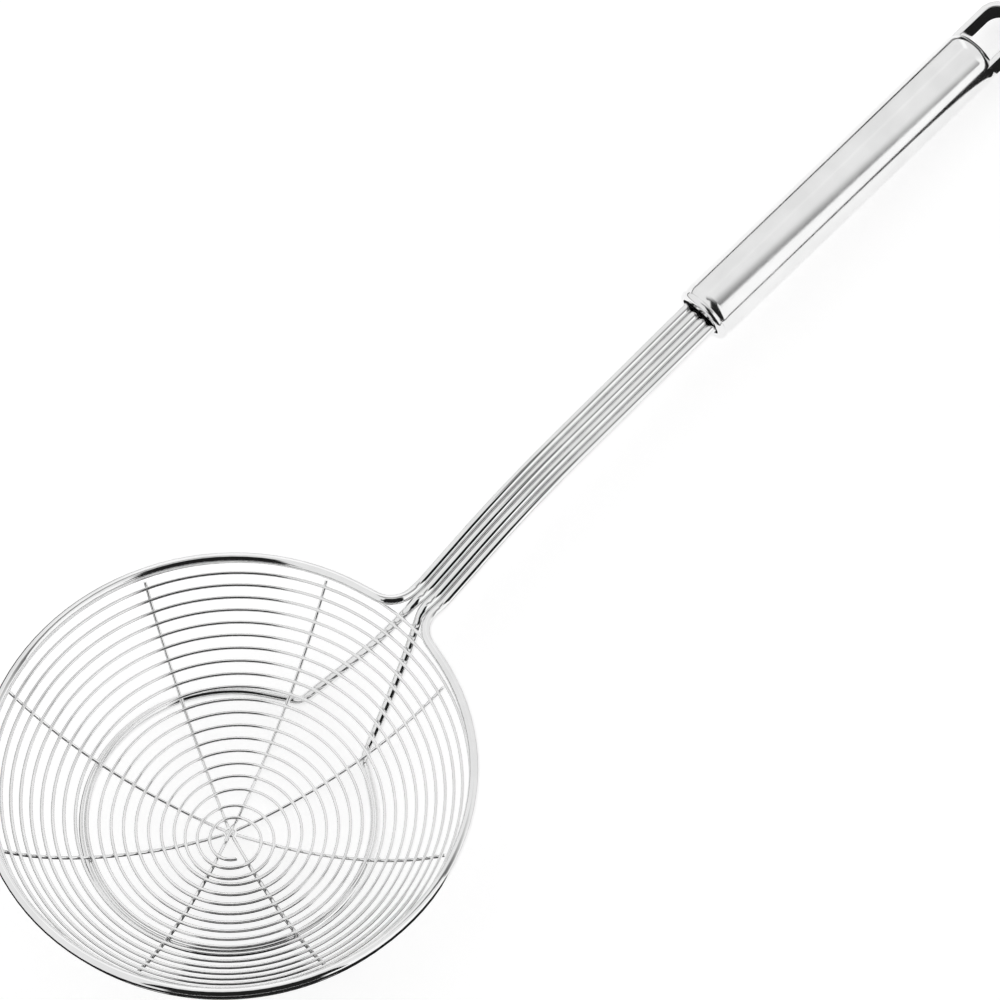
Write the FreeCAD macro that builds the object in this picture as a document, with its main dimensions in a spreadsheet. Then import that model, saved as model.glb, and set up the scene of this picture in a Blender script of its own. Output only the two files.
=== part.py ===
import FreeCAD, Part
import Sketcher
import math
import os

from FreeCAD import Placement, Rotation, Vector

# A spider skimmer: a shallow bowl wound from one thin wire, carried by two thick hoops whose ends run
# side by side up a bent shaft into a hollow round grip with a hanging loop.
#
# The tool's own frame, in which the pieces are drawn: the rim lies in the plane z = 0 around the origin,
# the bowl hangs below it and the handle points along +X. At the end the whole tool is laid down as it
# rests on a table, on two points under the bowl and on the far end of the grip.

# Driving dimensions: name, value and meaning. Lengths are millimetres and angles are degrees.
DIMENSIONS = [
    ("rim_diameter", 140, "rim hoop, measured over the wire"),
    ("frame_wire", 3, "wire of the rim hoop and the support hoop"),
    ("spiral_wire", 1, "wire that the bowl is wound from"),
    ("spoke_wire", 1.1, "wire of the spokes"),
    ("weld_gap", 0.05, "gap left between wires that are welded where they cross"),
    ("wire_gap", 0.1, "gap between the wires of the shaft"),
    ("bowl_radius", 86.24, "sphere that the middle of the spiral wire lies on"),
    ("spiral_start", 5.23, "from the bowl's lowest point to the wire's inner end, along the bowl"),
    ("spiral_start_turn", -122.7, "direction of the wire's inner end, from the handle"),
    ("spiral_pitch", 3.636, "step from one turn to the next, along the bowl"),
    ("spiral_end_short", 1.3, "how far the wire's outer end stays short of the rim, along the bowl"),
    ("spiral_lift_turns", 0.75, "turns over which the outer end leaves the sphere to seat on the rim"),
    ("spiral_slack", 1.7, "how far the innermost turns are pushed off centre"),
    ("spiral_slack_turn", 200, "direction in which they are pushed, from the handle"),
    ("spiral_slack_turns", 2, "turns that are pushed off in full"),
    ("spiral_slack_fade", 0.75, "turns over which the push fades out"),
    ("spiral_spring", 0.8, "how far the inner end is sprung open"),
    ("spiral_spring_turns", 0.4, "turns over which it springs open"),
    ("base_lean", 1.3, "how far the spokes and the support hoop sit tipped in the bowl, towards +Y"),
    ("hub_gap", 1.75, "from the hub's middle to the inner ends of the spokes"),
    ("climb_start", 4, "where spoke 1 starts to climb over the other spokes, from the hub's middle"),
    ("climb_end", 0.6, "where it has climbed over them, from the hub's middle"),
    ("hub_overrun", 3.5, "how far spoke 1 runs on past the hub's middle"),
    ("rim_opening", 14, "half the angle at the handle over which the rim leaves its circle"),
    ("rim_bend", 8, "bend radius from the rim into the shaft"),
    ("hoop_radius", 40.8, "support hoop, at the middle of its wire"),
    ("hoop_corner", 17.5, "half the angle between the hoop's two corners, where its legs start"),
    ("hoop_straight", 15, "angle before each corner over which the hoop runs straight"),
    ("hoop_bend", 4.5, "bend radius at the hoop's corners"),
    ("leg_run", 0.54, "level run of the legs beyond the bowl, up to their bend into the shaft"),
    ("leg_bend", 5, "bend radius from the legs into the shaft"),
    ("neck_level", 0.9, "level run of the shaft before the neck's bend"),
    ("neck_bend", 10, "bend radius of the neck"),
    ("neck_slope", 19.5, "rise of the shaft after the neck"),
    ("neck_run", 13.8, "straight run from the neck's bend to the knee's"),
    ("knee_bend", 213, "bend radius of the knee"),
    ("shaft_slope", 8.75, "rise of the shaft after the knee"),
    ("shaft_run", 56.3, "straight run from the knee's bend to the middle of the mouth cap"),
    ("wire_tail", 25, "length of the shaft's wires inside the grip"),
    ("grip_slope", 6.76, "rise of the grip"),
    ("grip_length", 105.1, "handle tube"),
    ("grip_diameter", 17.3, "handle tube"),
    ("grip_wall", 1.2, "handle tube"),
    ("crown_run", 2.7, "length over which the tube's mouth is drawn in"),
    ("crown_depth", 0.8, "how far the tube's mouth is drawn in"),
    ("mouth_plate", 1.8, "thickness of the mouth cap's plate"),
    ("mouth_edge", 1.5, "rounding of the mouth cap's outer edge"),
    ("slot_offset", 0.7, "how far the slot is above the middle of the mouth cap"),
    ("slot_edge", 0.25, "rounding of the slot's edge"),
    ("slot_side", 0.6, "clearance beside the shaft's wires in the slot"),
    ("slot_rise", 3, "clearance above and below the shaft's wires in the slot"),
    ("cap_spigot", 3, "length of the caps' spigots inside the tube"),
    ("cap_fit", 0.1, "clearance of the spigots in the tube"),
    ("end_plate", 4.6, "thickness of the end cap's plate"),
    ("end_edge", 4.3, "rounding of the end cap's outer edge"),
    ("loop_width", 15, "hanging loop, measured over the strip"),
    ("loop_reach", 15.6, "how far the hanging loop stands out from the end cap"),
    ("loop_corner", 6.6, "outer bend radius of the hanging loop"),
    ("loop_strip", 1.6, "thickness of the loop's strip"),
    ("loop_band", 7.7, "width of the loop's strip"),
    ("loop_foot", 3.3, "length of the loop's feet inside the end cap"),
    ("loop_fit", 0.1, "clearance of the loop's feet in the end cap"),
    ("loop_edge", 0.3, "rounding of the strip's edges"),
]

# Each spoke: its direction from the handle, and how far it stays short of the rim along the bowl
SPOKES = [
    (21.7, 4.6),
    (65.8, 6.1),
    (110.2, 5.6),
    (153.1, 8.4),
    (201.6, 16.5),
    (253, 16.5),
    (295.7, 9.8),
    (341.3, 6.5),
]
for number, (turn, short) in enumerate(SPOKES, start=1):
    DIMENSIONS.append((f"spoke_{number}_turn", turn, f"direction of spoke {number}, from the handle"))
    DIMENSIONS.append((f"spoke_{number}_short", short, f"how far spoke {number} stays short of the rim"))

doc = FreeCAD.newDocument("spider_skimmer")
sheet = doc.addObject("Spreadsheet::Sheet", "Sizes")
for row, (alias, value, meaning) in enumerate(DIMENSIONS, start=1):
    sheet.set(f"A{row}", meaning)
    sheet.set(f"B{row}", str(value))
    sheet.setAlias(f"B{row}", alias)
doc.recompute()


def size(alias):
    """A driving dimension, as a plain number."""
    return float(sheet.get(alias))


def angle(alias):
    """A driving angle, in radians."""
    return math.radians(size(alias))


def unit(vector):
    """The vector's direction."""
    return vector / vector.Length


def eased(share):
    """A smooth step from 0 to 1."""
    share = min(max(share, 0), 1)
    return share * share * (3 - 2 * share)


# Sizes that follow from the driving dimensions

frame_radius = size("frame_wire") / 2
spiral_radius = size("spiral_wire") / 2
spoke_radius = size("spoke_wire") / 2
rim_radius = size("rim_diameter") / 2 - frame_radius

# Distances from the middle of the bowl's sphere. From the inside out, the bowl is the rim, the spiral, the
# spokes and the support hoop, and the hoop's legs lie straight on the spiral.
rim_distance = size("bowl_radius") - spiral_radius - size("weld_gap") - frame_radius
spoke_distance = size("bowl_radius") + spiral_radius + size("weld_gap") + spoke_radius
hoop_distance = spoke_distance + spoke_radius + size("weld_gap") + frame_radius
leg_distance = size("bowl_radius") + spiral_radius + size("weld_gap") + frame_radius

bowl_centre = Vector(0, 0, math.sqrt(rim_distance**2 - rim_radius**2))
rim_polar = math.asin(rim_radius / rim_distance)

# Half distances between the shaft's wires: the support hoop's pair inside, the rim's pair outside
inner_line = (size("frame_wire") + size("wire_gap")) / 2
outer_line = inner_line + size("frame_wire") + size("wire_gap")

# The spokes and the support hoop sit tipped about the middle of the bowl's sphere
base_tip = Placement(Vector(), Rotation(Vector(1, 0, 0), size("base_lean")), bowl_centre)


def sphere_way(polar, turn):
    """The direction from the sphere's middle, by its angle from straight down and its turn."""
    return Vector(math.sin(polar) * math.cos(turn), math.sin(polar) * math.sin(turn), -math.cos(polar))


# Paths of bent wire, as lists of edges

def straight(start, end):
    """A straight edge."""
    return Part.makeLine(start, end)


def bow(start, middle, end):
    """An arc edge through three points."""
    return Part.Arc(start, middle, end).toShape()


def corner_arc(before, corner, after, radius):
    """The arc that rounds a corner, as its first, middle and last point."""
    back = unit(before - corner)
    ahead = unit(after - corner)
    half = math.acos(back.dot(ahead)) / 2
    run = radius / math.tan(half)
    depth = radius / math.sin(half) - radius
    return corner + back * run, corner + unit(back + ahead) * depth, corner + ahead * run


def rounded_run(points, radii):
    """Straight runs from point to point, with each corner between them rounded to its radius."""
    edges = []
    start = points[0]
    for before, corner, after, radius in zip(points, points[1:], points[2:], radii):
        first, middle, last = corner_arc(before, corner, after, radius)
        edges.append(straight(start, first))
        edges.append(bow(first, middle, last))
        start = last
    edges.append(straight(start, points[-1]))
    return edges


def apex_arc(start, apex, end):
    """The arc that touches at its ends both lines from its apex."""
    middle = (start + end) / 2
    lift = apex - middle
    half = (end - start).Length / 2
    sag = half * math.tan(math.atan(lift.Length / half) / 2)
    return bow(start, middle + unit(lift) * sag, end)


def biarc(start, start_way, end, end_way):
    """Two arcs that join smoothly, and leave and reach the ends in the given directions."""
    chord = end - start
    spread = 2 * (1 - start_way.dot(end_way))
    along = chord.dot(start_way + end_way)
    reach = (math.sqrt(along**2 + spread * chord.dot(chord)) - along) / spread
    joint = (start + end + (start_way - end_way) * reach) / 2
    return [apex_arc(start, start + start_way * reach, joint), apex_arc(joint, end - end_way * reach, end)]


def wire_piece(name, edges, diameter):
    """A round wire along a path, with its section bound to the wire's size."""
    path = doc.addObject("Part::Feature", name + "_path")
    path.Shape = Part.Wire(edges)
    start = edges[0].valueAt(edges[0].FirstParameter)
    way = edges[0].tangentAt(edges[0].FirstParameter)
    section = doc.addObject("Part::Circle", name + "_section")
    section.setExpression("Radius", f"Sizes.{diameter} / 2")
    section.Placement = Placement(start, Rotation(Vector(0, 0, 1), way))
    piece = doc.addObject("Part::Sweep", name)
    piece.Label = name
    piece.Sections = [section]
    piece.Spine = (path, [])
    piece.Solid = True
    piece.Frenet = False
    return piece


# Where the rim and the legs turn into the shaft

rim_opening = angle("rim_opening")
rim_end = Vector(math.cos(rim_opening), math.sin(rim_opening), 0) * rim_radius
rim_leave = Vector(math.sin(rim_opening), -math.cos(rim_opening), 0)
rim_corner = rim_end + rim_leave * ((rim_end.y - outer_line) / math.cos(rim_opening))

hoop_drop = math.sqrt(hoop_distance**2 - size("hoop_radius") ** 2)
leg_start = math.sqrt(leg_distance**2 - bowl_centre.z**2 - inner_line**2)
leg_top = Vector(leg_start + size("leg_run"), inner_line, 0)


def hoop_point(radius, turn):
    """A point in the support hoop's tipped plane."""
    flat = Vector(radius * math.cos(turn), radius * math.sin(turn), bowl_centre.z - hoop_drop)
    return base_tip.multVec(flat)


def leg_touch(corner, top):
    """Where a leg, straight when seen from above, meets the bowl, is half way and leaves it."""
    ahead = unit(Vector(top.x - corner.x, top.y - corner.y, 0))
    aside = Vector(-ahead.y, ahead.x, 0)
    offset = (corner - bowl_centre).dot(aside)
    foot = bowl_centre + aside * offset
    radius = math.sqrt(leg_distance**2 - offset**2)

    def bearing(point):
        return math.atan2(point.z - foot.z, (point - foot).dot(ahead))

    def on_bowl(turn):
        return foot + ahead * (radius * math.cos(turn)) + Vector(0, 0, radius * math.sin(turn))

    first = bearing(corner) + math.acos(radius / (corner - foot).Length)
    last = bearing(top) - math.acos(radius / (top - foot).Length)
    return on_bowl(first), on_bowl((first + last) / 2), on_bowl(last)


def hoop_leg(side):
    """The corners of one half of the support hoop: arc end, corner, the bowl's three points and the top."""
    corner_turn = side * angle("hoop_corner")
    arc_turn = corner_turn + side * angle("hoop_straight")
    arc_end = hoop_point(size("hoop_radius"), arc_turn)
    corner = hoop_point(size("hoop_radius") / math.cos(angle("hoop_straight")), corner_turn)
    top = Vector(leg_top.x, side * leg_top.y, leg_top.z)
    return arc_end, corner, leg_touch(corner, top), top


# The shaft, which all four thick wires follow

def bend_run(radius, turn):
    """The length that a bend takes up on each side of its corner."""
    return size(radius) * math.tan(turn / 2)


def rise(slope):
    """The direction of a rise along the handle."""
    return Vector(math.cos(angle(slope)), 0, math.sin(angle(slope)))


def leg_turn(side):
    """The angle from a leg's top run to the shaft."""
    touch, top = hoop_leg(side)[2:]
    return (top - touch[2]).getAngle(Vector(1, 0, 0))


leg_bend_run = bend_run("leg_bend", max(leg_turn(1), leg_turn(-1)))
rim_bend_run = bend_run("rim_bend", math.pi / 2 - rim_opening)
bends_end = max(rim_corner.x + rim_bend_run, leg_top.x + leg_bend_run)
neck_turn = angle("neck_slope")
knee_turn = angle("neck_slope") - angle("shaft_slope")
neck = Vector(bends_end + size("neck_level") + bend_run("neck_bend", neck_turn), 0, 0)
knee_run = bend_run("neck_bend", neck_turn) + size("neck_run") + bend_run("knee_bend", knee_turn)
knee = neck + rise("neck_slope") * knee_run
mouth = knee + rise("shaft_slope") * (bend_run("knee_bend", knee_turn) + size("shaft_run"))
tail = mouth + rise("shaft_slope") * size("wire_tail")


def shaft_points(line):
    """The shaft's corners from inside the grip to the neck, for the wire that far from the middle."""
    return [point + Vector(0, line, 0) for point in (tail, knee, neck)]


def rim_hoop():
    """The rim's circle, which opens at the handle into the outer pair of shaft wires."""
    radii = [size("knee_bend"), size("neck_bend"), size("rim_bend")]
    run_in = shaft_points(outer_line) + [rim_corner, rim_end]
    run_out = [Vector(point.x, -point.y, point.z) for point in reversed(run_in)]
    edges = rounded_run(run_in, radii)
    edges.append(bow(run_in[-1], Vector(-rim_radius, 0, 0), run_out[0]))
    edges += rounded_run(run_out, radii[::-1])
    return wire_piece("rim_hoop", edges, "frame_wire")


def support_hoop():
    """The small hoop under the bowl, whose legs rise along the bowl into the inner pair of shaft wires."""
    radii = [size("knee_bend"), size("neck_bend"), size("leg_bend")]
    arc_in, corner_in, touch_in, top_in = hoop_leg(1)
    arc_out, corner_out, touch_out, top_out = hoop_leg(-1)
    edges = rounded_run(shaft_points(inner_line) + [top_in, touch_in[2]], radii)
    edges.append(bow(*reversed(touch_in)))
    edges += rounded_run([touch_in[0], corner_in, arc_in], [size("hoop_bend")])
    edges.append(bow(arc_in, hoop_point(size("hoop_radius"), math.pi), arc_out))
    edges += rounded_run([arc_out, corner_out, touch_out[0]], [size("hoop_bend")])
    edges.append(bow(*touch_out))
    edges += rounded_run([touch_out[2], top_out] + shaft_points(-inner_line)[::-1], radii[::-1])
    return wire_piece("support_hoop", edges, "frame_wire")


# Spiral wire

spiral_reach = rim_polar * size("bowl_radius") - size("spiral_end_short")
spiral_turns = (spiral_reach - size("spiral_start")) / size("spiral_pitch")


def rim_seat(polar):
    """The distance from the sphere's middle at which the spiral wire seats on the rim."""
    along = rim_radius * math.sin(polar) + bowl_centre.z * math.cos(polar)
    contact = frame_radius + size("weld_gap") + spiral_radius
    return along + math.sqrt(along**2 - rim_distance**2 + contact**2)


def spiral_point(turns):
    """The middle of the spiral wire after a number of turns from its inner end."""
    spring = size("spiral_spring") * (1 - eased(turns / size("spiral_spring_turns")))
    reach = size("spiral_start") + size("spiral_pitch") * turns + spring
    turn = angle("spiral_start_turn") - 2 * math.pi * turns
    fading = eased((turns - size("spiral_slack_turns")) / size("spiral_slack_fade"))
    slack = size("spiral_slack") * (1 - fading)
    slack_turn = angle("spiral_slack_turn")
    across = reach * math.cos(turn) + slack * math.cos(slack_turn)
    aside = reach * math.sin(turn) + slack * math.sin(slack_turn)
    polar = math.hypot(across, aside) / size("bowl_radius")
    lift = eased(1 - (spiral_turns - turns) / size("spiral_lift_turns"))
    seat = rim_seat(rim_polar - size("spiral_end_short") / size("bowl_radius"))
    distance = size("bowl_radius") + lift * (seat - size("bowl_radius"))
    return bowl_centre + sphere_way(polar, math.atan2(aside, across)) * distance


def spiral_way(turns):
    """The direction of the spiral wire."""
    step = 0.001
    return unit(spiral_point(turns + step) - spiral_point(turns - step))


def spiral_wire():
    """The wire that the bowl is wound from, on two arcs for each quarter turn."""
    quarters = round(4 * spiral_turns)
    knots = [spiral_turns * quarter / quarters for quarter in range(quarters + 1)]
    edges = []
    for start, end in zip(knots, knots[1:]):
        edges += biarc(spiral_point(start), spiral_way(start), spiral_point(end), spiral_way(end))
    tightest = min(edge.Curve.Radius for edge in edges)
    print(f"spiral: {spiral_turns:.2f} turns, tightest arc {tightest:.2f} mm")
    print(f"spiral: least gap to itself {spiral_gap(edges):.2f} mm")
    return wire_piece("spiral_wire", edges, "spiral_wire")


def spiral_gap(edges):
    """The least gap between neighbouring turns, measured on points along the wire."""
    steps = 6
    points = []
    for edge in edges:
        points += edge.discretize(Number=steps + 1)[:-1]
    half_turn = round(len(points) / spiral_turns / 2)
    gaps = []
    for index, point in enumerate(points):
        others = points[index + half_turn : index + 3 * half_turn]
        gaps += [(point - other).Length for other in others]
    return min(gaps) - size("spiral_wire")


# Spokes

SPOKE_DISTANCE = "(Sizes.bowl_radius + Sizes.spiral_wire / 2 + Sizes.weld_gap + Sizes.spoke_wire / 2)"
RIM_DISTANCE = "(Sizes.bowl_radius - Sizes.spiral_wire / 2 - Sizes.weld_gap - Sizes.frame_wire / 2)"
RIM_POLAR = f"asin((Sizes.rim_diameter - Sizes.frame_wire) / 2 / {RIM_DISTANCE})"


def plain_spoke(number):
    """A spoke that follows the bowl from the hub towards the rim."""
    piece = doc.addObject("Part::Torus", f"spoke_{number}")
    piece.Label = f"spoke_{number}"
    piece.setExpression("Radius1", SPOKE_DISTANCE)
    piece.setExpression("Radius2", "Sizes.spoke_wire / 2")
    length = f"(Sizes.spoke_{number}_short + Sizes.hub_gap) / {SPOKE_DISTANCE}"
    piece.setExpression("Angle3", f"{RIM_POLAR} - {length} * 180 / pi * 1 deg")
    turn = angle(f"spoke_{number}_turn")
    start = size("hub_gap") / spoke_distance
    outward = sphere_way(start, turn)
    onward = sphere_way(start + math.pi / 2, turn)
    turned = Rotation(outward, onward, outward.cross(onward), "XYZ")
    piece.Placement = base_tip * Placement(bowl_centre, turned)
    return piece


def crossing_spoke(number):
    """The spoke that climbs over the ends of the others at the hub and runs on past its middle."""
    turn = angle(f"spoke_{number}_turn")
    over_distance = spoke_distance - size("spoke_wire") - size("weld_gap")

    def low(polar):
        return base_tip.multVec(bowl_centre + sphere_way(polar, turn) * spoke_distance)

    def high(polar):
        return base_tip.multVec(bowl_centre + sphere_way(polar, turn) * over_distance)

    def inward(polar):
        return base_tip.Rotation.multVec(sphere_way(polar - math.pi / 2, turn))

    outer = rim_polar - size(f"spoke_{number}_short") / spoke_distance
    climb_start = size("climb_start") / spoke_distance
    climb_end = size("climb_end") / over_distance
    inner = -size("hub_overrun") / over_distance
    edges = [bow(low(outer), low((outer + climb_start) / 2), low(climb_start))]
    edges += biarc(low(climb_start), inward(climb_start), high(climb_end), inward(climb_end))
    edges.append(bow(high(climb_end), high((climb_end + inner) / 2), high(inner)))
    return wire_piece(f"spoke_{number}", edges, "spoke_wire")


# Sketched pieces of the grip. Each is drawn with Z along the grip, X across it and Y through it.

def new_body(name):
    body = doc.addObject("PartDesign::Body", name)
    body.Label = name
    return body


def new_sketch(body, name, role="XY_Plane", height=None):
    """A sketch on one of the body's own planes, or a bound height above it."""
    sketch = body.newObject("Sketcher::SketchObject", f"{body.Name}_{name}")
    plane = next(feature for feature in body.Origin.OriginFeatures if feature.Role == role)
    sketch.AttachmentSupport = (plane, [""])
    sketch.MapMode = "FlatFace"
    if height:
        sketch.setExpression("AttachmentOffset.Base.z", height)
    return sketch


def bind(sketch, constraint, name, expression):
    """Adds a dimension to a sketch and binds it."""
    index = sketch.addConstraint(constraint)
    sketch.renameConstraint(index, name)
    sketch.setExpression(f"Constraints.{name}", expression)


# How a sketch numbers its origin, its axes and the points of a line or arc
ORIGIN = (-1, 1)
X_AXIS, Y_AXIS = range(-1, -3, -1)
START, END, CENTRE = range(1, 4)

# Lengths that agree to this are taken as the same
TOUCH = 0.01


def add_disc(sketch, inset="0"):
    """A circle of the grip's outline, drawn in by an inset."""
    disc = sketch.addGeometry(Part.Circle(Vector(), Vector(0, 0, 1), size("grip_diameter") / 2))
    sketch.addConstraint(Sketcher.Constraint("Coincident", disc, CENTRE, *ORIGIN))
    across = Sketcher.Constraint("Diameter", disc, size("grip_diameter"))
    bind(sketch, across, "across", f"Sizes.grip_diameter - 2 * ({inset})")


def add_box(sketch, corners):
    """Four lines from corner to corner, the first of them level, as a box about the X axis."""
    sides = [sketch.addGeometry(Part.LineSegment(a, b)) for a, b in zip(corners, corners[1:] + corners[:1])]
    for side, after in zip(sides, sides[1:] + sides[:1]):
        sketch.addConstraint(Sketcher.Constraint("Coincident", side, END, after, START))
    for side in sides[0::2]:
        sketch.addConstraint(Sketcher.Constraint("Horizontal", side))
    sketch.addConstraint(Sketcher.Constraint("Symmetric", sides[1], START, sides[1], END, X_AXIS))
    sketch.addConstraint(Sketcher.Constraint("Vertical", sides[3]))
    return sides


def add_slot(sketch, width, height, offset):
    """A slot with round ends, across the Y axis."""
    half = size("frame_wire")
    radius = size("frame_wire") / 2
    top = sketch.addGeometry(Part.LineSegment(Vector(half, radius, 0), Vector(-half, radius, 0)))
    left = sketch.addGeometry(arc_about(Vector(-half, 0, 0), radius, math.pi / 2, math.pi * 3 / 2))
    bottom = sketch.addGeometry(Part.LineSegment(Vector(-half, -radius, 0), Vector(half, -radius, 0)))
    right = sketch.addGeometry(arc_about(Vector(half, 0, 0), radius, -math.pi / 2, math.pi / 2))
    for one, other in ((top, left), (left, bottom), (bottom, right), (right, top)):
        sketch.addConstraint(Sketcher.Constraint("Tangent", one, END, other, START))
    sketch.addConstraint(Sketcher.Constraint("Equal", left, right))
    sketch.addConstraint(Sketcher.Constraint("Symmetric", left, CENTRE, right, CENTRE, Y_AXIS))
    bind(sketch, Sketcher.Constraint("Radius", right, radius), "round", f"({height}) / 2")
    bind(sketch, Sketcher.Constraint("Distance", top, 2 * half), "straight", f"({width}) - ({height})")
    bind(sketch, Sketcher.Constraint("DistanceY", *ORIGIN, right, CENTRE, radius), "offset", offset)


def arc_about(centre, radius, start, end):
    """An arc by its middle, radius and angles."""
    return Part.ArcOfCircle(Part.Circle(centre, Vector(0, 0, 1), radius), start, end)


def pad(body, sketch, length, reversed_way=False):
    """A pad of bound length."""
    feature = body.newObject("PartDesign::Pad", f"{sketch.Name}_pad")
    feature.Profile = sketch
    feature.Reversed = reversed_way
    feature.setExpression("Length", length)
    return feature


def round_edges(body, chosen, radius, name):
    """Rounds the edges of the body's last feature that pass a test."""
    doc.recompute()
    base = body.Tip
    names = [f"Edge{index}" for index, edge in enumerate(base.Shape.Edges, start=1) if chosen(edge)]
    feature = body.newObject("PartDesign::Fillet", f"{body.Name}_{name}")
    feature.Base = (base, names)
    feature.setExpression("Radius", radius)
    return feature


def flat_at(edge, height):
    """Whether an edge lies at a height."""
    box = edge.BoundBox
    return max(abs(box.ZMin - height), abs(box.ZMax - height)) < TOUCH


def as_wide(edge, width):
    """Whether an edge spans a width."""
    return abs(edge.BoundBox.XLength - width) < TOUCH


def handle_tube():
    """The round tube of the grip, drawn in at its mouth."""
    body = new_body("handle_tube")
    outer = size("grip_diameter") / 2
    inner = outer - size("grip_wall")
    run = size("crown_run")
    depth = size("crown_depth")
    length = size("grip_length")
    round_radius = (run**2 + depth**2) / (2 * depth)
    round_start = math.atan2(-run, round_radius - depth)

    wall = new_sketch(body, "wall", "XZ_Plane")
    lip = wall.addGeometry(Part.LineSegment(Vector(inner, 0, 0), Vector(outer - depth, 0, 0)))
    crown = wall.addGeometry(arc_about(Vector(outer - round_radius, run, 0), round_radius, round_start, 0))
    side = wall.addGeometry(Part.LineSegment(Vector(outer, run, 0), Vector(outer, length, 0)))
    far = wall.addGeometry(Part.LineSegment(Vector(outer, length, 0), Vector(inner, length, 0)))
    bore = wall.addGeometry(Part.LineSegment(Vector(inner, length, 0), Vector(inner, 0, 0)))
    for one, other in ((lip, crown), (side, far), (far, bore), (bore, lip)):
        wall.addConstraint(Sketcher.Constraint("Coincident", one, END, other, START))
    wall.addConstraint(Sketcher.Constraint("Tangent", crown, END, side, START))
    wall.addConstraint(Sketcher.Constraint("Horizontal", lip))
    wall.addConstraint(Sketcher.Constraint("Horizontal", far))
    wall.addConstraint(Sketcher.Constraint("Vertical", side))
    wall.addConstraint(Sketcher.Constraint("Vertical", bore))
    wall.addConstraint(Sketcher.Constraint("PointOnObject", lip, START, X_AXIS))
    reach = Sketcher.Constraint("DistanceX", *ORIGIN, side, END, outer)
    bind(wall, reach, "outer", "Sizes.grip_diameter / 2")
    drawn_in = Sketcher.Constraint("DistanceX", crown, START, crown, END, depth)
    bind(wall, drawn_in, "drawn_in", "Sizes.crown_depth")
    drawn_over = Sketcher.Constraint("DistanceY", crown, START, crown, END, run)
    bind(wall, drawn_over, "drawn_over", "Sizes.crown_run")
    bind(wall, Sketcher.Constraint("Distance", far, size("grip_wall")), "thick", "Sizes.grip_wall")
    bind(wall, Sketcher.Constraint("Distance", bore, length), "long", "Sizes.grip_length")

    turned = body.newObject("PartDesign::Revolution", "handle_tube_turned")
    turned.Profile = wall
    turned.ReferenceAxis = (wall, ["V_Axis"])
    return body


def mouth_cap():
    """The plate over the tube's mouth, with a spigot in the tube and a slot for the four wires."""
    body = new_body("mouth_cap")
    plate = new_sketch(body, "plate")
    add_disc(plate)
    pad(body, plate, "Sizes.mouth_plate")
    spigot = new_sketch(body, "spigot", height="Sizes.mouth_plate")
    add_disc(spigot, "Sizes.grip_wall + Sizes.cap_fit")
    pad(body, spigot, "Sizes.cap_spigot")
    slot = new_sketch(body, "slot")
    width = "4 * Sizes.frame_wire + 3 * Sizes.wire_gap + 2 * Sizes.slot_side"
    add_slot(slot, width, "Sizes.frame_wire + 2 * Sizes.slot_rise", "Sizes.slot_offset")
    cut = body.newObject("PartDesign::Pocket", "mouth_cap_slot_cut")
    cut.Profile = slot
    cut.Type = "ThroughAll"
    cut.Reversed = True
    doc.recompute()
    width = size("grip_diameter")
    round_edges(
        body,
        lambda edge: flat_at(edge, 0) and as_wide(edge, width),
        "Sizes.mouth_edge",
        "edge",
    )
    round_edges(
        body,
        lambda edge: flat_at(edge, 0) and edge.BoundBox.YLength < size("frame_wire") + 3 * size("slot_rise"),
        "Sizes.slot_edge",
        "slot_edge",
    )
    return body


def end_cap():
    """The closed end of the grip, with a spigot in the tube and two slots for the feet of the loop."""
    body = new_body("end_cap")
    plate = new_sketch(body, "plate")
    add_disc(plate)
    pad(body, plate, "Sizes.end_plate")
    spigot = new_sketch(body, "spigot")
    add_disc(spigot, "Sizes.grip_wall + Sizes.cap_fit")
    pad(body, spigot, "Sizes.cap_spigot", reversed_way=True)
    outer = size("end_plate")
    round_edges(body, lambda edge: flat_at(edge, outer), "Sizes.end_edge", "edge")

    slots = new_sketch(body, "slots", height="Sizes.end_plate")
    fit = size("loop_fit")
    far_side = size("loop_width") / 2 + fit
    near_side = size("loop_width") / 2 - size("loop_strip") - fit
    half_band = size("loop_band") / 2 + fit
    for name, way in (("left", -1), ("right", 1)):
        corners = [
            Vector(way * near_side, -half_band, 0),
            Vector(way * far_side, -half_band, 0),
            Vector(way * far_side, half_band, 0),
            Vector(way * near_side, half_band, 0),
        ]
        sides = add_box(slots, corners)
        thick = Sketcher.Constraint("Distance", sides[0], far_side - near_side)
        bind(slots, thick, f"{name}_thick", "Sizes.loop_strip + 2 * Sizes.loop_fit")
        band = Sketcher.Constraint("Distance", sides[1], 2 * half_band)
        bind(slots, band, f"{name}_band", "Sizes.loop_band + 2 * Sizes.loop_fit")
        ends = (*ORIGIN, sides[1], START) if way > 0 else (sides[1], START, *ORIGIN)
        reach = Sketcher.Constraint("DistanceX", *ends, far_side)
        bind(slots, reach, f"{name}_reach", "Sizes.loop_width / 2 + Sizes.loop_fit")
    cut = body.newObject("PartDesign::Pocket", "end_cap_slots_cut")
    cut.Profile = slots
    cut.setExpression("Length", "Sizes.loop_foot + Sizes.loop_fit")
    return body


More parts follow.
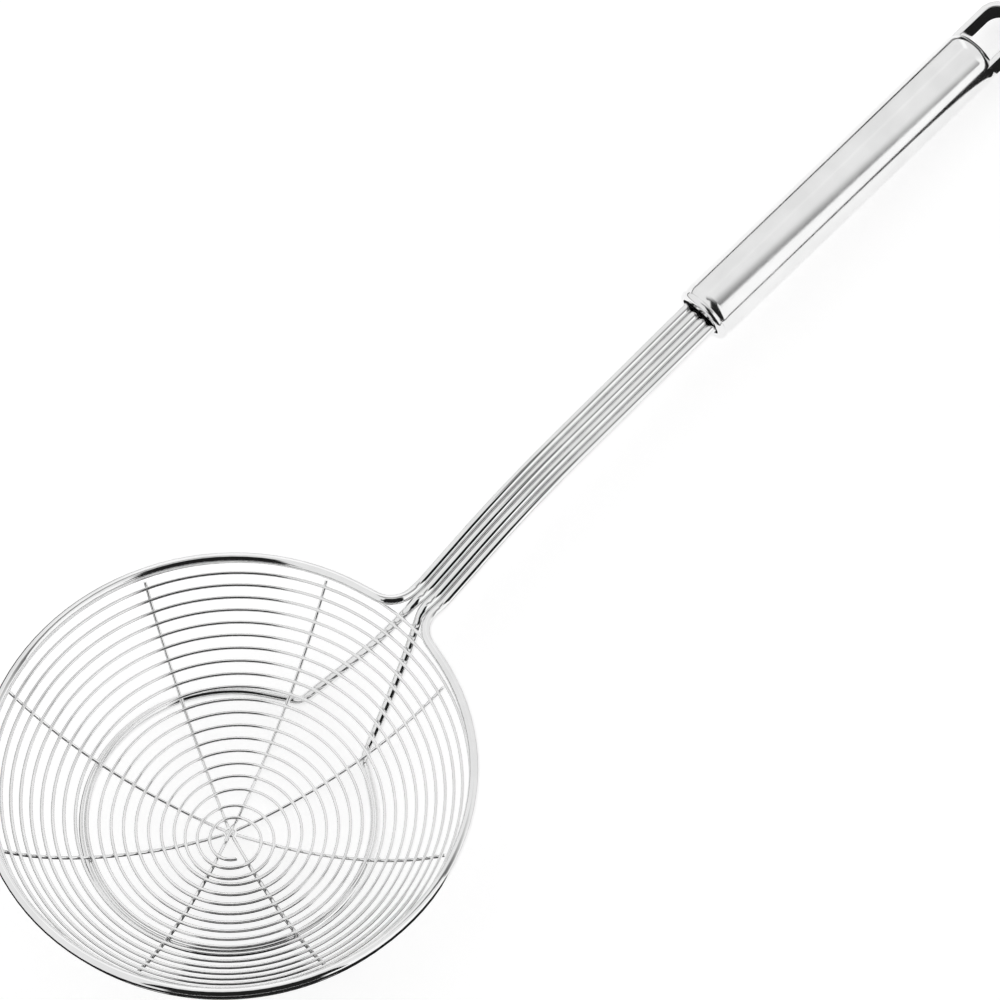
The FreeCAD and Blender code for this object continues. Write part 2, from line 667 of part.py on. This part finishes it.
def hanging_loop():
    """The strip bent into a loop, whose feet stand in the end cap."""
    body = new_body("hanging_loop")
    half = (size("loop_width") - size("loop_strip")) / 2
    foot = -size("loop_foot")
    top = size("loop_reach") - size("loop_strip") / 2
    bend = size("loop_corner") - size("loop_strip") / 2
    shoulder = top - bend

    path = new_sketch(body, "path", "XZ_Plane")
    left = path.addGeometry(Part.LineSegment(Vector(-half, foot, 0), Vector(-half, shoulder, 0)))
    first = path.addGeometry(arc_about(Vector(bend - half, shoulder, 0), bend, math.pi / 2, math.pi))
    across = path.addGeometry(Part.LineSegment(Vector(bend - half, top, 0), Vector(half - bend, top, 0)))
    second = path.addGeometry(arc_about(Vector(half - bend, shoulder, 0), bend, 0, math.pi / 2))
    right = path.addGeometry(Part.LineSegment(Vector(half, shoulder, 0), Vector(half, foot, 0)))
    joins = (
        (left, END, first, END),
        (first, START, across, START),
        (across, END, second, END),
        (second, START, right, START),
    )
    for join in joins:
        path.addConstraint(Sketcher.Constraint("Tangent", *join))
    path.addConstraint(Sketcher.Constraint("Vertical", left))
    path.addConstraint(Sketcher.Constraint("Vertical", right))
    path.addConstraint(Sketcher.Constraint("Horizontal", across))
    path.addConstraint(Sketcher.Constraint("Symmetric", left, START, right, END, Y_AXIS))
    path.addConstraint(Sketcher.Constraint("Equal", first, second))
    corner = Sketcher.Constraint("Radius", first, bend)
    bind(path, corner, "bend", "Sizes.loop_corner - Sizes.loop_strip / 2")
    width = Sketcher.Constraint("DistanceX", left, START, right, END, 2 * half)
    bind(path, width, "width", "Sizes.loop_width - Sizes.loop_strip")
    bind(path, Sketcher.Constraint("DistanceY", left, START, *ORIGIN, -foot), "foot", "Sizes.loop_foot")
    reach = Sketcher.Constraint("DistanceY", *ORIGIN, across, START, top)
    bind(path, reach, "reach", "Sizes.loop_reach - Sizes.loop_strip / 2")

    strip = new_sketch(body, "strip", height="-Sizes.loop_foot")
    corners = [
        Vector(-half + x * size("loop_strip") / 2, y * size("loop_band") / 2, 0)
        for x, y in ((-1, -1), (1, -1), (1, 1), (-1, 1))
    ]
    sides = add_box(strip, corners)
    bind(strip, Sketcher.Constraint("Distance", sides[0], size("loop_strip")), "thick", "Sizes.loop_strip")
    bind(strip, Sketcher.Constraint("Distance", sides[1], size("loop_band")), "wide", "Sizes.loop_band")
    inner = Sketcher.Constraint("DistanceX", sides[1], START, *ORIGIN, half - size("loop_strip") / 2)
    bind(strip, inner, "inner", "Sizes.loop_width / 2 - Sizes.loop_strip")

    pipe = body.newObject("PartDesign::AdditivePipe", "hanging_loop_pipe")
    pipe.Profile = strip
    pipe.Spine = (path, [])
    thick = size("loop_strip")
    edge_line = size("loop_band") / 2
    round_edges(
        body,
        lambda edge: edge.BoundBox.YLength < TOUCH
        and abs(abs(edge.BoundBox.YMin) - edge_line) < TOUCH
        and abs(edge.Length - thick) > TOUCH,
        "Sizes.loop_edge",
        "edges",
    )
    return body


# Assembly

thick_wires = [rim_hoop(), support_hoop()]
spiral = spiral_wire()
spokes = [crossing_spoke(1)] + [plain_spoke(number) for number in range(2, len(SPOKES) + 1)]
grip = [mouth_cap(), handle_tube(), end_cap(), hanging_loop()]
pieces = thick_wires + [spiral] + spokes + grip

# The grip's pieces follow each other along its axis. The wires cross the middle of the mouth cap's slot
# half way through the cap.
grip_turn = Rotation(Vector(0, 1, 0), Vector(), rise("grip_slope"), "ZXY")
cap_middle = Vector(0, size("slot_offset"), (size("mouth_plate") + size("cap_spigot")) / 2)
cap_start = mouth - grip_turn.multVec(cap_middle)
starts = [0, size("mouth_plate"), size("mouth_plate") + size("grip_length")]
starts.append(starts[-1] + size("end_plate"))
for piece, start in zip(grip, starts):
    piece.Placement = Placement(cap_start + rise("grip_slope") * start, grip_turn)
doc.recompute()

# Laying the tool down: it is tilted about Y until the bowl and the grip are as low as each other, and
# rolled about X until both sides of the bowl are

SAMPLES = 200
EDGE_SAMPLES = 40
HALVINGS = 30
ROLL_LIMIT = 20
TILT_LIMIT = 40
hoop_points = thick_wires[1].Spine[0].Shape.discretize(Number=2 * SAMPLES)
spoke_points = spokes[0].Spine[0].Shape.discretize(Number=SAMPLES)
for spoke in spokes[1:]:
    arc = Part.makeCircle(spoke_distance, Vector(), Vector(0, 0, 1), 0, float(spoke.Angle3))
    spoke_points += [spoke.Placement.multVec(point) for point in arc.discretize(Number=SAMPLES)]
bowl_points = [(point, frame_radius) for point in hoop_points]
bowl_points += [(point, spoke_radius) for point in spoke_points]
left_points = [(point, radius) for point, radius in bowl_points if point.y > 0]
right_points = [(point, radius) for point, radius in bowl_points if point.y < 0]
grip_edges = [edge for piece in grip for edge in piece.Shape.Edges]
grip_points = [(point, 0) for edge in grip_edges for point in edge.discretize(Number=EDGE_SAMPLES)]


def lowest(points, turned):
    """The lowest level that wires along the points reach when they are turned."""
    return min(turned.multVec(point).z - radius for point, radius in points)


def turning_point(low, high, below):
    """The value between two limits up to which a test holds."""
    for _ in range(HALVINGS):
        middle = (low + high) / 2
        if below(middle):
            low = middle
        else:
            high = middle
    return low


def laid(tilt):
    """The tool's turn for a tilt, rolled until both sides of the bowl are as low as each other."""
    tilted = Rotation(Vector(0, 1, 0), tilt)

    def rolled(roll):
        return Rotation(Vector(1, 0, 0), roll) * tilted

    def right_lower(roll):
        return lowest(right_points, rolled(roll)) < lowest(left_points, rolled(roll))

    return rolled(turning_point(ROLL_LIMIT, -ROLL_LIMIT, right_lower))


def grip_higher(tilt):
    """Whether the bowl touches the table first at a tilt."""
    turned = laid(tilt)
    return lowest(grip_points, turned) > lowest(bowl_points, turned)


lie = laid(turning_point(0, TILT_LIMIT, grip_higher))
for piece in pieces:
    piece.Placement = Placement(Vector(), lie) * piece.Placement
doc.recompute()

# The origin is under the middle of the laid tool
boxes = [piece.Shape.optimalBoundingBox(False) for piece in pieces]
middle = Vector(
    (min(box.XMin for box in boxes) + max(box.XMax for box in boxes)) / 2,
    (min(box.YMin for box in boxes) + max(box.YMax for box in boxes)) / 2,
    min(box.ZMin for box in boxes),
)
for piece in pieces:
    piece.Placement = Placement(-middle, Rotation()) * piece.Placement
doc.recompute()

for item in doc.Objects:
    if {"Invalid", "Error"} & set(item.State):
        raise RuntimeError(f"{item.Name}: {item.State}")
    if item.TypeId == "Sketcher::SketchObject" and not item.FullyConstrained:
        raise RuntimeError(f"{item.Name} can still move")
for piece in pieces:
    if piece.Shape.isNull() or not piece.Shape.isValid() or len(piece.Shape.Solids) != 1:
        raise RuntimeError(f"{piece.Label} is not one valid solid")

os.makedirs("parts", exist_ok=True)
for piece in pieces:
    piece.Shape.exportStep(os.path.join("parts", piece.Label + ".step"))
    print(f"{piece.Label}: {piece.Shape.Volume:.1f} cubic millimetres")
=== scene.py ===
import math

import bpy
from mathutils import Matrix, Vector
from mathutils.bvhtree import BVHTree


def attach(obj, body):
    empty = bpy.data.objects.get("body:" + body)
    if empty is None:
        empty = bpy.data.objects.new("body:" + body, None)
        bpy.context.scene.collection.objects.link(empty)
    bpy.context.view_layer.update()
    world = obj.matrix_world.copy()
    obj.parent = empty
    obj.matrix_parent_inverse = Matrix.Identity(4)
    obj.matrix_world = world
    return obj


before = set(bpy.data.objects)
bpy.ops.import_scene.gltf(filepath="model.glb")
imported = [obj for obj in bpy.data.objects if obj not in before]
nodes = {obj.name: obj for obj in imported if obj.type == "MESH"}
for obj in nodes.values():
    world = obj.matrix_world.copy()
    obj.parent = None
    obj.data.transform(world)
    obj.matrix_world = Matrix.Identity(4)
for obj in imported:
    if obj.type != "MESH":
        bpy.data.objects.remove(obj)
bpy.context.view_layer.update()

MM = 0.001

# The tool's own frame: the rim lies in its plane z = 0 and the handle points along +X. The tool lies on the
# table rolled about X and tilted about Y.
LIE_ROLL = math.radians(-1.287338)
LIE_TILT = math.radians(13.030713)
RIM_CENTRE = Vector((-122.25, 0, 40.272941)) * MM
tool_turn = Matrix.Rotation(LIE_ROLL, 3, "X") @ Matrix.Rotation(LIE_TILT, 3, "Y")

# The camera's own bearings: u to the right of the picture along the rim, v away from the camera and z up
# from the rim
HANDLE_AZIMUTH = math.radians(40.49)
view_turn = tool_turn @ Matrix.Rotation(-HANDLE_AZIMUTH, 3, "Z")


def seen(u, v, z):
    """A direction given by the camera's bearings, in the world's frame."""
    return view_turn @ Vector((u, v, z))


# Camera

CAMERA_RISE = math.radians(60.87)
CAMERA_ROLL = math.radians(-4.46)
CAMERA_DISTANCE = 4000 * MM
RIM_RIGHT = -75.55 * MM
RIM_UP = -75.92 * MM
SENSOR = 36
LENS = 518.53
PICTURE_SIDE = 1000

ahead = Vector((0, math.cos(CAMERA_RISE), -math.sin(CAMERA_RISE)))
level = Vector((1, 0, 0))
above = Vector((0, math.sin(CAMERA_RISE), math.cos(CAMERA_RISE)))
right = level * math.cos(CAMERA_ROLL) + above * math.sin(CAMERA_ROLL)
up = above * math.cos(CAMERA_ROLL) - level * math.sin(CAMERA_ROLL)
stand = RIM_CENTRE - view_turn @ (right * RIM_RIGHT + up * RIM_UP + ahead * CAMERA_DISTANCE)

lens = bpy.data.cameras.new("camera")
lens.sensor_width = SENSOR
lens.lens = LENS
camera = bpy.data.objects.new("camera", lens)
bpy.context.scene.collection.objects.link(camera)
axes = Matrix((view_turn @ right, view_turn @ up, view_turn @ -ahead)).transposed()
camera.matrix_world = Matrix.Translation(stand) @ axes.to_4x4()
bpy.context.scene.camera = camera


def floor_point(x, y):
    """The place on the floor under a place in the picture, in pixels from its top left corner."""
    half = PICTURE_SIDE / 2
    reach = PICTURE_SIDE * LENS / SENSOR
    ray = view_turn @ (ahead * reach + right * (x - half) + up * (half - y))
    return stand - ray * stand.z / ray.z


# Node helpers


def add_node(tree, kind, inputs=None, **settings):
    """A shader node with its settings, and its inputs by name or number."""
    node = tree.nodes.new(kind)
    for name, value in settings.items():
        setattr(node, name, value)
    for name, value in (inputs or {}).items():
        socket = node.inputs[name]
        if isinstance(value, bpy.types.NodeSocket):
            tree.links.new(value, socket)
        else:
            socket.default_value = value
    return node


def noise(tree, place, scale, detail):
    """Noise from 0 to 1."""
    inputs = {"Vector": place, "Scale": scale, "Detail": detail}
    return add_node(tree, "ShaderNodeTexNoise", inputs).outputs["Fac"]


def remap(tree, value, limits, ends=(0, 1), kind="LINEAR"):
    """A value carried from the range between two limits to the range between two ends."""
    low, high = limits
    to_low, to_high = ends
    inputs = {"Value": value, "From Min": low, "From Max": high, "To Min": to_low, "To Max": to_high}
    return add_node(tree, "ShaderNodeMapRange", inputs, interpolation_type=kind).outputs["Result"]


def soft_step(tree, value, limits, ends=(0, 1)):
    return remap(tree, value, limits, ends, "SMOOTHSTEP")


def calculate(tree, operation, first, second=0):
    return add_node(tree, "ShaderNodeMath", {0: first, 1: second}, operation=operation).outputs[0]


def along(tree, place, axis):
    """How far a place or a direction reaches along an axis."""
    inputs = {0: place, 1: axis}
    return add_node(tree, "ShaderNodeVectorMath", inputs, operation="DOT_PRODUCT").outputs["Value"]


def blend(tree, share, first, second):
    """From the first number to the second by a share."""
    return add_node(tree, "ShaderNodeMix", {"Factor": share, "A": first, "B": second}).outputs["Result"]


def grey(value):
    return (value, value, value, 1)


# Steel

BASE = 0.87
BASE_SPREAD = 0.025
CLOUD_SIZE = 9 * MM
NOISE_LOW = 0.35
NOISE_HIGH = 0.65
LINE_DETAIL = 3
CLOUD_DETAIL = 2
PORE_DETAIL = 1
PORES_PER_LINE = 2
PORE_DEPTH = 0.4


def steel(name, line_size, roughness, roughness_spread, relief, turn=Matrix.Identity(3), stretch=1):
    """Polished steel with faint clouds, a fine relief and fine lines along the first axis of the turn."""
    material = bpy.data.materials.new(name)
    material.use_nodes = True
    tree = material.node_tree
    shader = tree.nodes["Principled BSDF"]
    shader.inputs["Metallic"].default_value = 1
    place = add_node(tree, "ShaderNodeTexCoord").outputs["Object"]
    laid = {"Vector": place, "Rotation": turn.inverted().to_euler(), "Scale": (1 / stretch, 1, 1)}
    turned = add_node(tree, "ShaderNodeMapping", laid, vector_type="POINT").outputs["Vector"]
    lines = noise(tree, turned, 1 / line_size, LINE_DETAIL)
    clouds = noise(tree, place, 1 / CLOUD_SIZE, CLOUD_DETAIL)
    pores = noise(tree, place, PORES_PER_LINE / line_size, PORE_DETAIL)

    tone = remap(tree, clouds, (NOISE_LOW, NOISE_HIGH), (BASE - BASE_SPREAD, BASE + BASE_SPREAD))
    colour = add_node(tree, "ShaderNodeCombineColor", {"Red": tone, "Green": tone, "Blue": tone})
    tree.links.new(colour.outputs["Color"], shader.inputs["Base Color"])

    worn = calculate(tree, "ADD", lines, clouds)
    worn_limits = (2 * NOISE_LOW, 2 * NOISE_HIGH)
    gloss = remap(tree, worn, worn_limits, (roughness - roughness_spread, roughness + roughness_spread))
    tree.links.new(gloss, shader.inputs["Roughness"])

    height = calculate(tree, "ADD", lines, calculate(tree, "MULTIPLY", pores, PORE_DEPTH))
    bump = add_node(tree, "ShaderNodeBump", {"Height": height, "Strength": 1, "Distance": relief})
    tree.links.new(bump.outputs["Normal"], shader.inputs["Normal"])
    return material


def centre(node):
    corners = [node.matrix_world @ Vector(corner) for corner in node.bound_box]
    return sum(corners, Vector()) / len(corners)


WIRE_FINISH = {"roughness": 0.07, "roughness_spread": 0.03, "relief": 0.0004 * MM}
GRIP_FINISH = {"roughness": 0.14, "roughness_spread": 0.04, "relief": 0.0006 * MM}
WELD_FINISH = {"roughness": 0.22, "roughness_spread": 0.08, "relief": 0.002 * MM}
FRAME_LINE = 0.5 * MM
BOWL_LINE = 0.3 * MM
GRIP_LINE = 0.25 * MM
GRIP_LINE_STRETCH = 60
WELD_LINE = 0.2 * MM

grip_axis = (centre(nodes["end_cap"]) - centre(nodes["mouth_cap"])).normalized()
grip_turn = Vector((1, 0, 0)).rotation_difference(grip_axis).to_matrix()
frame_steel = steel("frame_wire_steel", FRAME_LINE, **WIRE_FINISH)
bowl_steel = steel("bowl_wire_steel", BOWL_LINE, **WIRE_FINISH)
grip_steel = steel("grip_steel", GRIP_LINE, turn=grip_turn, stretch=GRIP_LINE_STRETCH, **GRIP_FINISH)
weld_steel = steel("weld_steel", WELD_LINE, **WELD_FINISH)
for name, node in nodes.items():
    if name in ("rim_hoop", "support_hoop"):
        material = frame_steel
    elif name.startswith(("spiral", "spoke")):
        material = bowl_steel
    else:
        material = grip_steel
    node.data.materials.clear()
    node.data.materials.append(material)

# Weld spots: each crossing of two wires is melted together into a low, uneven nugget, and the hub into a
# wider one

CROSSING_GAP = 0.13 * MM
CROSSING_REACH = 1.6 * MM
SPOT_SIZE = Vector((0.68, 0.68, 0.3)) * MM
HOOP_SPOT_SIZE = Vector((0.95, 0.95, 0.4)) * MM
HUB_SIZE = Vector((1.5, 1.5, 0.5)) * MM
HUB_ROUNDS = 3
SPOT_SIDES = 14
SPOT_RINGS = 6
GOLDEN_TURN = math.radians(137.5)
# Waves round a nugget's edge: how many, how deep, and how many times its own phase they are shifted by
SPOT_WAVES = ((3, 0.09, 1), (5, 0.05, 2))


def shell(node):
    """A node's faces, for finding the nearest place on them."""
    corners = [node.matrix_world @ vertex.co for vertex in node.data.vertices]
    return BVHTree.FromPolygons(corners, [face.vertices for face in node.data.polygons])


def crossings(node, other):
    """Where a wire comes closest to another: the places between them, each with the way across the gap."""
    found = []
    for vertex in node.data.vertices:
        place = node.matrix_world @ vertex.co
        near, normal, index, gap = other.find_nearest(place, CROSSING_GAP)
        if near:
            found.append((gap, place, near))
    kept = []
    for gap, place, near in sorted(found, key=lambda each: each[0]):
        middle = (place + near) / 2
        if all((middle - before).length > CROSSING_REACH for before, way in kept):
            kept.append((middle, (near - place).normalized()))
    return kept


def add_spot(corners, faces, middle, way, size):
    """A closed nugget with its flat side across the way, and an edge that is a little different each time."""
    turn = way.to_track_quat("Z", "Y").to_matrix()
    phase = GOLDEN_TURN * len(faces)
    first = len(corners)
    corners.append(middle + turn @ Vector((0, 0, size.z)))
    for ring in range(1, SPOT_RINGS):
        fall = math.pi * ring / SPOT_RINGS
        for side in range(SPOT_SIDES):
            bearing = 2 * math.pi * side / SPOT_SIDES
            waves = sum(deep * math.sin(count * bearing + shift * phase) for count, deep, shift in SPOT_WAVES)
            out = math.sin(fall) * (1 + waves)
            x = out * size.x * math.cos(bearing)
            y = out * size.y * math.sin(bearing)
            corners.append(middle + turn @ Vector((x, y, size.z * math.cos(fall))))
    corners.append(middle - turn @ Vector((0, 0, size.z)))
    last = len(corners) - 1
    for side in range(SPOT_SIDES):
        after = (side + 1) % SPOT_SIDES
        faces.append((first, first + 1 + side, first + 1 + after))
        for ring in range(SPOT_RINGS - 2):
            row = first + 1 + ring * SPOT_SIDES
            faces.append((row + side, row + SPOT_SIDES + side, row + SPOT_SIDES + after, row + after))
        row = last - SPOT_SIDES
        faces.append((row + side, last, row + after))


def add_welds(name, spots, size):
    """All the nuggets of one kind as one piece."""
    corners = []
    faces = []
    for middle, way in spots:
        add_spot(corners, faces, middle, way, size)
    mesh = bpy.data.meshes.new(name)
    mesh.from_pydata(corners, [], faces)
    mesh.shade_smooth()
    mesh.materials.append(weld_steel)
    piece = bpy.data.objects.new(name, mesh)
    bpy.context.scene.collection.objects.link(piece)
    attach(piece, "root")


spokes = [node for name, node in nodes.items() if name.startswith("spoke")]
spiral = shell(nodes["spiral_wire"])
hoop = shell(nodes["support_hoop"])
spots = [spot for spoke in spokes for spot in crossings(spoke, spiral)]
spots += crossings(nodes["support_hoop"], spiral)
add_welds("weld_spots", spots, SPOT_SIZE)
hoop_spots = [spot for spoke in spokes for spot in crossings(spoke, hoop)]
add_welds("hoop_weld_spots", hoop_spots, HOOP_SPOT_SIZE)

# The hub is the middle of the spokes' inner ends, which are the ends nearest to it
spoke_places = [[spoke.matrix_world @ vertex.co for vertex in spoke.data.vertices] for spoke in spokes]
hub = sum((centre(spoke) for spoke in spokes), Vector()) / len(spokes)
for repeat in range(HUB_ROUNDS):
    inner_ends = [min(places, key=lambda place: (place - hub).length) for places in spoke_places]
    hub = sum(inner_ends, Vector()) / len(inner_ends)
add_welds("hub_weld", [(hub, seen(0, 0, 1))], HUB_SIZE)

# World: a pale room, brighter at the right and straight behind, and dark where the camera stands

ROOM = 0.88
BRIGHT = 1.08
DARK = 0.015
# Soft edges, in shares of a direction's length: the dark front widens downwards
FRONT_WIDENING = 0.36
FRONT_SIDES = (0.16, 0.1)
FRONT_TOP = (-0.1, -0.18)
BACK_SIDES = (0.2, 0.1)
BACK_TOP = (0.33, 0.45)
RIGHT_WAY = seen(0.79, -0.6, 0.1).normalized()
RIGHT_EDGE = (0.55, 0.85)

world = bpy.data.worlds.new("studio")
bpy.context.scene.world = world
world.use_nodes = True
tree = world.node_tree
way = add_node(tree, "ShaderNodeTexCoord").outputs["Generated"]
aside = calculate(tree, "ABSOLUTE", along(tree, way, seen(1, 0, 0)))
depth = along(tree, way, seen(0, 1, 0))
spread = calculate(tree, "ADD", aside, calculate(tree, "MULTIPLY", depth, FRONT_WIDENING))
front = calculate(tree, "MULTIPLY", soft_step(tree, spread, FRONT_SIDES), soft_step(tree, depth, FRONT_TOP))
back = calculate(tree, "MULTIPLY", soft_step(tree, aside, BACK_SIDES), soft_step(tree, depth, BACK_TOP))
light = soft_step(tree, along(tree, way, RIGHT_WAY), RIGHT_EDGE, (ROOM, BRIGHT))
light = blend(tree, back, light, BRIGHT)
light = blend(tree, front, light, DARK)
background = tree.nodes["Background"]
background.inputs["Color"].default_value = grey(1)
tree.links.new(light, background.inputs["Strength"])
path = add_node(tree, "ShaderNodeLightPath")
plain = add_node(tree, "ShaderNodeBackground", {"Color": grey(1), "Strength": 1})
sky = {0: path.outputs["Is Camera Ray"], 1: background.outputs[0], 2: plain.outputs[0]}
mixed = add_node(tree, "ShaderNodeMixShader", sky)
tree.links.new(mixed.outputs[0], tree.nodes["World Output"].inputs["Surface"])

# Floor: it gives back part of the light, so that the shadow stays, and glows by the rest to be white

FLOOR_SIDE = 6
FLOOR_COLOUR = 0.5
FLOOR_GLOW = 0.68


def bare_material(name):
    """A material with nothing on its output yet."""
    material = bpy.data.materials.new(name)
    material.use_nodes = True
    material.node_tree.nodes.remove(material.node_tree.nodes["Principled BSDF"])
    return material


bpy.ops.mesh.primitive_plane_add(size=FLOOR_SIDE, location=(0, 0, 0))
floor = bpy.context.object
floor.name = "floor"
material = bare_material("floor")
tree = material.node_tree
path = add_node(tree, "ShaderNodeLightPath")
shown = calculate(tree, "MAXIMUM", path.outputs["Is Camera Ray"], path.outputs["Is Glossy Ray"])
shown = calculate(tree, "MAXIMUM", shown, path.outputs["Is Transmission Ray"])
glow = add_node(tree, "ShaderNodeEmission", {"Strength": calculate(tree, "MULTIPLY", shown, FLOOR_GLOW)})
matt = add_node(tree, "ShaderNodeBsdfDiffuse", {"Color": grey(FLOOR_COLOUR)})
paper = add_node(tree, "ShaderNodeAddShader", {0: glow.outputs[0], 1: matt.outputs[0]})
tree.links.new(paper.outputs[0], tree.nodes["Material Output"].inputs["Surface"])
floor.data.materials.append(material)

# Cards that show only in the steel


def dark(tree):
    return DARK


def card(name, corners, faces, tone=dark):
    """A card whose glow is the number or the socket that a function of its node tree gives."""
    mesh = bpy.data.meshes.new(name)
    mesh.from_pydata(corners, [], faces)
    item = bpy.data.objects.new(name, mesh)
    bpy.context.scene.collection.objects.link(item)
    material = bare_material(name)
    tree = material.node_tree
    glow = add_node(tree, "ShaderNodeEmission", {"Strength": tone(tree)})
    tree.links.new(glow.outputs[0], tree.nodes["Material Output"].inputs["Surface"])
    mesh.materials.append(material)
    item.visible_camera = False
    item.visible_diffuse = False
    item.visible_shadow = False
    item.visible_transmission = False
    item.visible_volume_scatter = False
    return item


# On the floor, in pixels of the picture: a ring round a sheet of the bare floor, and a patch under the bowl's
# front
CARD_HEIGHT = Vector((0, 0, 1)) * MM
RING_REACH = 6
SHEET = ((-60, -120), (935, -120), (980, 45), (1025, 110), (1600, 900), (1600, 945), (-60, 945))
FRONT_PATCH = ((115, 950), (180, 868), (290, 868), (355, 950))

inner = [floor_point(x, y) + CARD_HEIGHT for x, y in SHEET]
middle = sum(inner, Vector()) / len(inner)
outer = [middle + (corner - middle) * RING_REACH for corner in inner]
sides = len(inner)
ring = [(i, (i + 1) % sides, sides + (i + 1) % sides, sides + i) for i in range(sides)]
card("floor_card", inner + outer, ring)
patch = [floor_point(x, y) + CARD_HEIGHT for x, y in FRONT_PATCH]
card("front_card", patch, [(0, 1, 2, 3)])

# A screen over the bowl's front that widens towards the camera: half its width at each place along v
SCREEN_HEIGHT = 150
SCREEN = ((56, -81), (94, -143), (262, -381))

screen = [Vector((side * u, v, SCREEN_HEIGHT)) * MM for u, v in SCREEN for side in (-1, 1)]
screen = [RIM_CENTRE + view_turn @ corner for corner in screen]
card("front_screen", screen, [(0, 1, 3, 2), (2, 3, 5, 4)])

# A strip over the shaft and the grip, by the camera's bearings from the grip's mouth. It is dark along its
# front edge, and fades towards its back and its far end.
STRIP_START = Vector((-160, -35, 300)) * MM
STRIP_END = Vector((412, -217, 300)) * MM
STRIP_RUN_ON = 1.15
STRIP_WIDTH = 120 * MM
STRIP_NEAR_TONE = 0.01
STRIP_FAR_TONE = 0.34

run = (STRIP_END - STRIP_START) * STRIP_RUN_ON
across = Vector((-run.y, run.x, 0)).normalized()


def strip_tone(tree):
    place = add_node(tree, "ShaderNodeTexCoord").outputs["Object"]
    run_along = along(tree, place, run.normalized())
    front_tone = remap(tree, run_along, (0, run.length), (STRIP_NEAR_TONE, STRIP_FAR_TONE))
    return soft_step(tree, along(tree, place, across), (0, STRIP_WIDTH), (front_tone, ROOM))


strip = [Vector(), run, run + across * STRIP_WIDTH, across * STRIP_WIDTH]
item = card("strip_card", strip, [(0, 1, 2, 3)], strip_tone)
strip_place = centre(nodes["mouth_cap"]) + view_turn @ STRIP_START
item.matrix_world = Matrix.Translation(strip_place) @ view_turn.to_4x4()

bpy.context.scene.view_settings.view_transform = "Standard"
